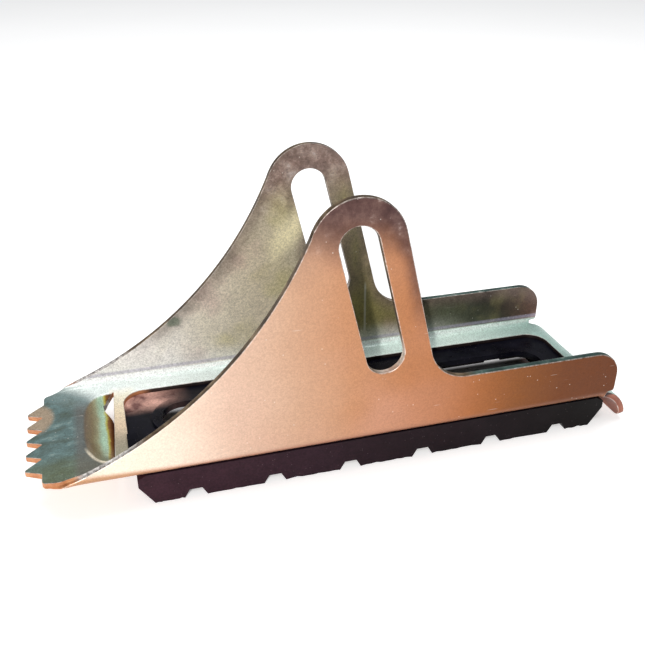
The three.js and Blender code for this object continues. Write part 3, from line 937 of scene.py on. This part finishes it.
def zinc_material():
    material, n, shader, place, x, y, z = start_material("passivated_zinc")
    cut = attribute(n, "cut_edge")
    inner = n.step(attribute(n, "inner_side"), 0.45, 0.55)
    from_rim = attribute(n, "rim_distance")
    drift = n.times(n.minus(n.noise(place, 28.0, 3.0), 0.5), 34.0)
    mottle = n.noise(place, 130.0, 4.0, 0.65)
    tooth = n.group(grain, Place=place, Fine=1700.0, Coarse=900.0)

    across = n.add("ShaderNodeMapping", {"Vector": place, "Scale": (0.22, 1.0, 2.4)}).outputs[0]
    streak = n.noise(across, 240.0, 3.0, 0.6)

    # outside of the wings: cream at the toe, peach, then orange brown at the rear; this run is partly the
    # coating's colour and partly painted light, brighter towards the toe
    along = n.plus(n.plus(x, n.times(z, 0.1)), n.times(drift, 0.42))
    outer = n.ramp(along, [
        (-240, (0.90, 0.80, 0.65)), (-203, (0.83, 0.66, 0.54)), (-176, (0.63, 0.44, 0.335)),
        (-150, (0.53, 0.325, 0.215)), (-125, (0.465, 0.225, 0.115)), (-99, (0.405, 0.165, 0.068)),
        (-73, (0.345, 0.118, 0.034)), (-50, (0.205, 0.066, 0.014)), (-26, (0.135, 0.038, 0.008)),
        (0, (0.115, 0.030, 0.006))])
    rosy = n.times(n.step(n.noise(place, 17.0, 2.0), 0.42, 0.66), n.step(x, -60.0, -120.0))
    outer = n.layer(outer, rosy, 0.30, (0.60, 0.34, 0.27))
    head_colour = n.ramp(mottle, [(0.30, (0.036, 0.016, 0.018)), (0.46, (0.070, 0.034, 0.034)),
                                  (0.60, (0.125, 0.070, 0.062)), (0.70, (0.30, 0.22, 0.20))])
    head = n.step(n.plus(n.plus(z, n.times(x, -0.12)), drift), 92.0, 122.0)
    outer = n.layer(outer, head, 0.95, head_colour)
    post_back = n.plus(n.plus(x, n.times(z, 0.253)), n.times(drift, 0.4))
    stem = n.times(n.step(post_back, -91.0, -84.0), n.step(z, 44.0, 76.0))
    outer = n.layer(outer, stem, 0.72, head_colour)
    # partly painted reflection: a darker orange-brown band along the outer fold, standing for the shaded
    # floor it faces
    fold = n.step(z, n.step(x, -238.0, -190.0, 7.0, 5.0), n.step(x, -238.0, -190.0, 3.8, 1.6))
    fold_reflection_colour = n.ramp(x, [
        (-240, (0.44, 0.20, 0.07)), (-215, (0.46, 0.20, 0.08)), (-190, (0.62, 0.28, 0.16)),
        (-150, (0.46, 0.20, 0.12)), (-90, (0.42, 0.16, 0.075)), (-20, (0.30, 0.11, 0.045))])
    outer = n.layer(outer, fold, 0.88, fold_reflection_colour)
    claw = n.times(n.step(x, -5.0, -2.0), n.step(z, 2.0, 0.5))
    claw_colour = n.ramp(mottle, [(0.3, (0.15, 0.045, 0.030)), (0.7, (0.33, 0.12, 0.075))])
    outer = n.mix(claw, outer, claw_colour)

    # inside of the wings: pale at the toe, olive grey, then dark with a brown rear end; the near-white
    # toe end is partly a painted highlight
    in_along = n.plus(x, n.times(drift, 0.5))
    lean = n.plus(in_along, n.times(z, 0.30))
    inside_colour = n.ramp(lean, [
        (-236, (0.93, 0.91, 0.88)), (-196, (0.92, 0.89, 0.85)), (-170, (0.76, 0.70, 0.58)),
        (-140, (0.63, 0.55, 0.42)), (-104, (0.36, 0.32, 0.22)), (-72, (0.19, 0.195, 0.145)),
        (-50, (0.105, 0.115, 0.07)), (-24, (0.035, 0.036, 0.026)), (4, (0.075, 0.026, 0.010))])
    tint = n.noise(place, 34.0, 3.0, 0.5)
    tint_side = n.step(x, -215.0, -170.0)
    inside_colour = n.mix(n.times(n.times(n.step(tint, 0.50, 0.70), tint_side), 0.50), inside_colour,
                          (0.52, 0.47, 0.19))
    inside_colour = n.mix(n.times(n.times(n.step(tint, 0.47, 0.30), tint_side), 0.45), inside_colour,
                          (0.60, 0.40, 0.38))
    olive = n.band(x, -128.0, -108.0, -58.0, -76.0)
    inside_colour = n.mix(n.times(olive, n.step(z, 8.0, 20.0, 0.25, 0.72)), inside_colour,
                          (0.24, 0.20, 0.045))
    in_head = n.ramp(mottle, [(0.30, (0.13, 0.065, 0.055)), (0.47, (0.26, 0.155, 0.13)),
                              (0.60, (0.42, 0.32, 0.28)), (0.72, (0.66, 0.58, 0.55))])
    top = n.step(n.plus(n.plus(z, n.times(x, -0.12)), drift), 92.0, 118.0)
    inside_colour = n.layer(inside_colour, top, 0.88, in_head)
    shy = n.step(n.plus(from_rim, n.times(n.minus(mottle, 0.5), 7.0)), 9.0, 0.5)
    shy = n.times(shy, n.times(n.step(z, 9.0, 22.0), n.step(x, -218.0, -196.0)))
    inside_colour = n.layer(inside_colour, shy, 0.62, n.ramp(mottle, [
        (0.32, (0.085, 0.062, 0.055)), (0.6, (0.20, 0.14, 0.12))]))
    # painted highlight: a yellowish-white streak across the inside of the far wing's web
    painted_highlight_streak = n.band(x, -150.0, -141.0, -124.0, -133.0)
    painted_highlight_run = n.plus(z, n.times(x, -0.9))
    painted_highlight_streak = n.times(painted_highlight_streak, n.band(painted_highlight_run, 180.0, 190.0, 206.0, 194.0))
    inside_colour = n.layer(inside_colour, painted_highlight_streak, 0.7, (0.86, 0.78, 0.50))
    smudge = n.oval(x, -193.0, 0.16, z, 31.0, 0.30)
    smudge = n.step(n.plus(smudge, n.times(mottle, 1.2)), 1.5, 0.7)
    inside_colour = n.layer(inside_colour, smudge, 0.7, (0.10, 0.15, 0.10))
    silver = n.times(n.step(z, 17.0, 7.5), n.step(x, -36.0, -80.0))
    inside_colour = n.layer(inside_colour, silver, 0.50, (0.66, 0.66, 0.64))
    lilac = n.band(z, 6.4, 7.2, 9.0, 8.0)
    inside_colour = n.layer(inside_colour, lilac, 0.55, (0.36, 0.33, 0.44))
    # partly painted reflection: the inner bend at the wing's foot goes white to pale mint, as if
    # mirroring the bright sky
    inside_colour = n.mix(n.step(z, 6.8, 5.6), inside_colour, n.ramp(x, [
        (-230, (0.95, 0.95, 0.95)), (-120, (0.86, 0.92, 0.90)), (-30, (0.80, 0.90, 0.86)),
        (0, (0.5, 0.6, 0.55))]))

    # the floor: white and mint, dark teal at the toe; its near-white is partly a painted reflection of
    # the bright sky
    floor_colour = n.ramp(n.plus(in_along, n.times(y, 0.05)), [
        (-240, (0.72, 0.80, 0.77)), (-205, (0.86, 0.94, 0.91)), (-120, (0.74, 0.90, 0.86)),
        (-50, (0.80, 0.96, 0.88)), (-4, (0.44, 0.62, 0.56))])
    teal = n.ramp(n.plus(n.times(streak, 0.5), n.times(mottle, 0.5)), [
        (0.34, (0.085, 0.115, 0.090)), (0.46, (0.105, 0.155, 0.145)), (0.56, (0.13, 0.21, 0.21)),
        (0.68, (0.30, 0.37, 0.33))])
    teal = n.mix(n.step(n.plus(n.times(x, 0.98), y), -226.0, -208.0, 0.0, 0.5), teal,
                 (0.32, 0.42, 0.42))
    teal = n.mix(n.times(n.step(y, -12.0, -27.0), 0.65), teal, (0.13, 0.15, 0.075))
    # painted shadow: dark purplish brown round the scoop's front and along its near side
    teal = n.mix(n.times(n.step(x, -243.5, -239.5), n.step(y, 26.0, 14.0, 0.0, 0.6)), teal,
                 (0.13, 0.11, 0.10))
    corner = n.plus(n.plus(n.times(x, 0.98), y), n.times(drift, 0.25))
    dark_toe = n.times(n.step(corner, -199.0, -212.0), n.step(x, -225.4, -226.0))
    floor_colour = n.mix(dark_toe, floor_colour, teal)
    bar = n.band(x, -226.0, -225.4, -212.0, -218.0)
    bar_colour = n.ramp(n.plus(y, n.times(mottle, 8.0)), [
        (-24, (0.24, 0.25, 0.18)), (-10, (0.37, 0.32, 0.23)), (3, (0.74, 0.57, 0.40)),
        (14, (0.82, 0.69, 0.49)), (26, (0.84, 0.80, 0.64)), (33, (0.84, 0.86, 0.80))])
    floor_colour = n.mix(n.times(bar, n.step(y, 31.0, 26.0)), floor_colour, bar_colour)
    sunk = n.times(n.step(z, 2.9, 2.2), n.step(x, -224.85, -224.95))
    sunk = n.times(sunk, n.step(x, -241.5, -240.0))
    # partly painted light and shade: dark shade at the scoop's front wall, mint on its floor, a painted
    # gold highlight where the lip rolls over, and dark brown shade on the tongue rolling down behind
    scoop_colour = n.ramp(n.plus(x, n.times(n.minus(mottle, 0.5), 3.0)), [
        (-240, (0.085, 0.080, 0.065)), (-237, (0.16, 0.115, 0.070)), (-234.5, (0.24, 0.19, 0.10)),
        (-232.4, (0.33, 0.33, 0.20)), (-230.5, (0.36, 0.52, 0.38)), (-229.0, (0.40, 0.58, 0.44)),
        (-228.1, (0.44, 0.40, 0.07)), (-227.3, (0.20, 0.085, 0.015)), (-225.4, (0.10, 0.024, 0.010))])
    scoop_colour = n.mix(n.times(n.step(y, -6.0, -20.0), 0.6), scoop_colour, (0.27, 0.21, 0.13))
    floor_colour = n.mix(sunk, floor_colour, scoop_colour)
    # painted highlight: a cream crescent along the scoop's near rim
    rim_r = n.oval(x, -227.8, 0.086, y, 0.0, 0.0379)
    painted_highlight_crescent = n.band(rim_r, 0.80, 0.95, 1.14, 1.0)
    painted_highlight_crescent = n.times(painted_highlight_crescent, n.times(n.step(y, -13.0, -19.0), n.step(x, -225.5, -226.0)))
    floor_colour = n.layer(floor_colour, painted_highlight_crescent, 0.85, (0.90, 0.80, 0.62))
    patch_r = n.oval(x, -257.0, 0.15, y, 14.0, 0.095)
    patch = n.step(n.plus(patch_r, n.times(mottle, 0.8)), 1.75, 0.95)
    floor_colour = n.layer(floor_colour, patch, 0.85, (0.42, 0.31, 0.21))
    on_floor = n.times(n.step(z, 4.9, 3.6), inner)

    colour = n.mix(inner, outer, n.mix(on_floor, inside_colour, floor_colour))

    # grain, bright crystals and cut edges
    shade = n.plus(n.step(tooth["Wobble"], 0.30, 0.70, 0.88, 1.10),
                   n.times(n.times(n.minus(tooth["Wobble"], 0.5), inner), 1.1))
    colour = n.shaded(colour, shade)
    spark = n.group(specks, Place=place, Scale=760.0, Amount=0.055)
    colour = n.layer(colour, spark["Mask"], 0.5, (0.88, 0.80, 0.72))
    rubbed = n.group(scuffs, Place=place, Amount=0.5)
    colour = n.layer(colour, rubbed["Mask"], 0.22, (0.95, 0.88, 0.82))
    # an old gouge down the inside of the far wing's web
    line = n.math("ABSOLUTE", n.plus(n.plus(x, 97.6), n.times(z, 0.02)))
    gouge = n.times(n.times(n.step(line, 0.75, 0.3), inner), n.band(z, 9.0, 14.0, 41.0, 36.0))
    gouge = n.times(gouge, n.step(y, 20.0, 30.0))
    colour = n.layer(colour, gouge, 0.55, (0.62, 0.60, 0.50))

    toe_cut = n.step(x, -238.0, -243.0)
    copper = n.ramp(mottle, [
        (0.3, (0.36, 0.125, 0.045)), (0.5, (0.52, 0.21, 0.085)), (0.68, (0.70, 0.36, 0.17))])
    plain_cut = n.ramp(mottle, [(0.32, (0.042, 0.024, 0.012)), (0.52, (0.125, 0.082, 0.043)),
                                (0.68, (0.26, 0.19, 0.115))])
    rail_cut = n.ramp(mottle, [
        (0.34, (0.020, 0.045, 0.040)), (0.55, (0.06, 0.115, 0.10)), (0.7, (0.34, 0.38, 0.34))])
    silver_cut = n.ramp(n.noise(place, 520.0, 3.0, 0.7), [
        (0.34, (0.20, 0.17, 0.16)), (0.5, (0.56, 0.53, 0.50)), (0.62, (0.86, 0.82, 0.78))])
    cut_colour = n.mix(n.times(n.step(z, 27.5, 26.0), n.step(x, -78.0, -70.0)), plain_cut, rail_cut)
    cut_colour = n.mix(n.band(x, -212.0, -222.0, -247.0, -242.0), cut_colour, silver_cut)
    slot_foot = n.times(n.step(x, -121.0, -113.0), n.band(z, 52.0, 45.0, 26.0, 30.0))
    slot_foot = n.times(slot_foot, n.step(post_back, -95.0, -97.0))
    cut_colour = n.layer(cut_colour, slot_foot, 0.85, n.ramp(mottle, [
        (0.36, (0.52, 0.33, 0.25)), (0.6, (0.92, 0.80, 0.70))]))
    low_cut = n.times(n.step(z, 5.0, 3.6), n.step(x, -226.5, -225.5))
    cut_colour = n.mix(low_cut, cut_colour, n.mix(n.step(x, -206.0, -213.0), (0.020, 0.012, 0.012),
                                                  (0.50, 0.22, 0.10)))
    cut_colour = n.mix(toe_cut, cut_colour, copper)
    cut_colour = n.mix(n.times(n.step(x, -3.0, 1.0), n.step(z, 1.0, 0.0)), cut_colour, claw_colour)
    colour = n.mix(n.step(cut, 0.55, 0.95), colour, cut_colour)
    dark_arris = n.times(inner, n.step(mottle, 0.62, 0.45))
    dark_arris = n.times(n.band(cut, 0.08, 0.35, 0.99, 0.70), dark_arris)
    colour = n.layer(colour, dark_arris, 0.75, (0.030, 0.018, 0.016))
    # the arrises: rubbed bright by wear and, in part, a painted highlight
    arris_wear_and_highlight = n.group(edge_wear_and_highlight, Place=place, Edge=cut, Scale=420.0, Amount=0.95)
    colour = n.layer(colour, arris_wear_and_highlight["Mask"], 0.85, (0.84, 0.76, 0.70))
    n.put(shader.inputs["Base Color"], colour)

    rough = n.plus(n.step(mottle, 0.3, 0.7, 0.30, 0.46), n.times(cut, 0.08))
    n.put(shader.inputs["Roughness"], rough)
    shine = n.minus(n.step(mottle, 0.3, 0.7, 0.68, 0.58),
                    n.times(inner, n.step(x, -150.0, -195.0, 0.34, 0.56)))
    n.put(shader.inputs["Metallic"], shine)
    marks = n.times(n.plus(gouge, rubbed["Mask"]), 0.6)
    bump = n.add("ShaderNodeBump", {"Strength": 0.30, "Distance": 0.00012,
                                    "Height": n.minus(tooth["Height"], marks)})
    n.put(shader.inputs["Normal"], bump.outputs[0])
    return material


def rubber_material():
    material, n, shader, place, x, y, z = start_material("moulded_rubber")
    tooth = n.group(grain, Place=place, Fine=1100.0, Coarse=150.0)
    mottle = n.noise(place, 60.0, 4.0, 0.6)
    side = n.ramp(n.plus(x, n.times(n.minus(mottle, 0.5), 40.0)), [
        (-215, (0.032, 0.011, 0.018)), (-150, (0.022, 0.008, 0.014)), (-110, (0.011, 0.004, 0.007)),
        (-60, (0.005, 0.0015, 0.003)), (-10, (0.002, 0.001, 0.001))])
    top = n.ramp(mottle, [(0.35, (0.0015, 0.0015, 0.004)), (0.65, (0.005, 0.005, 0.010))])
    # painted reflection: a pink-copper blush on the plug's front far corner, standing for the far wing
    # mirrored in the glossy top
    painted_reflection_mask = n.times(n.step(n.plus(x, n.times(mottle, 8.0)), -184.0, -206.0), n.step(y, 6.0, 16.0))
    painted_reflection_colour = n.ramp(mottle, [(0.38, (0.20, 0.09, 0.08)), (0.60, (0.90, 0.52, 0.42))])
    top = n.layer(top, painted_reflection_mask, 0.8, painted_reflection_colour)
    is_top = n.step(z, -0.8, 0.2)
    colour = n.mix(is_top, side, top)
    shade = n.step(tooth["Wobble"], 0.3, 0.7, 0.75, 1.25)
    colour = n.shaded(colour, shade)
    dust = n.group(specks, Place=place, Scale=1100.0, Amount=0.16)
    colour = n.layer(colour, dust["Mask"], 0.22, (0.30, 0.24, 0.26))
    n.put(shader.inputs["Base Color"], colour)
    rough = n.plus(n.step(mottle, 0.3, 0.7, 0.50, 0.64), n.times(is_top, -0.26))
    n.put(shader.inputs["Roughness"], rough)
    shader.inputs["Specular IOR Level"].default_value = 0.12
    bump = n.add("ShaderNodeBump", {"Strength": 0.35, "Distance": 0.00018,
                                    "Height": tooth["Height"]})
    n.put(shader.inputs["Normal"], bump.outputs[0])
    return material


steel = build_steel()
steel.data.materials.append(zinc_material())
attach(steel, "root")
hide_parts("steel_body")

sole = build_sole(rubber_material())
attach(sole, "root")
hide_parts("rubber_sole")


# ---- floor and light ----
def add_floor():
    mesh = bpy.data.meshes.new("floor")
    far = 4.0
    mesh.from_pydata([(-far, -far, 0), (far, -far, 0), (far, far, 0), (-far, far, 0)], [], [(0, 1, 2, 3)])
    floor = linked("floor", mesh)
    material, n, shader, place, x, y, _ = start_material("pale_floor")
    shade = n.ramp(n.noise(place, 3.0), [(0.3, (0.93, 0.93, 0.93)), (0.7, (0.96, 0.96, 0.96))])
    n.put(shader.inputs["Base Color"], shade)
    shader.inputs["Roughness"].default_value = 0.9
    shader.inputs["Specular IOR Level"].default_value = 0.1
    # the ground glows a little, but not inside the sole's walls
    under = n.times(n.step(n.math("ABSOLUTE", n.plus(x, 106.0)), 112.0, 100.0),
                    n.step(n.math("ABSOLUTE", y), 33.0, 28.0))
    n.put(shader.inputs["Emission Color"], n.mix(under, (1.0, 1.0, 1.0), (0.0, 0.0, 0.0)))
    shader.inputs["Emission Strength"].default_value = 0.42
    mesh.materials.append(material)


def add_lamp(name, towards, distance, size, power, colour=(1, 1, 1)):
    data = bpy.data.lights.new(name, "AREA")
    data.shape = "DISK"
    data.size = size
    data.energy = power
    data.color = colour
    lamp = linked(name, data)
    aim = Vector((0.0, 0.0, 0.04))
    way = Vector(towards).normalized()
    lamp.location = aim + way * distance
    lamp.rotation_mode = "QUATERNION"
    lamp.rotation_quaternion = (-way).to_track_quat("-Z", "Y")


add_floor()
add_lamp("key_lamp", towards=(-0.376, -0.798, 0.47), distance=1.5, size=0.05, power=15.0,
         colour=(1.0, 0.97, 0.94))
add_lamp("top_lamp", towards=(0.1, 0.2, 1.0), distance=1.6, size=1.2, power=14.0)
world = bpy.data.worlds.new("studio")
world.use_nodes = True
background = world.node_tree.nodes["Background"]
background.inputs["Color"].default_value = (0.95, 0.97, 1.0, 1)
background.inputs["Strength"].default_value = 0.28
bpy.context.scene.world = world
bpy.context.scene.view_settings.view_transform = "Standard"
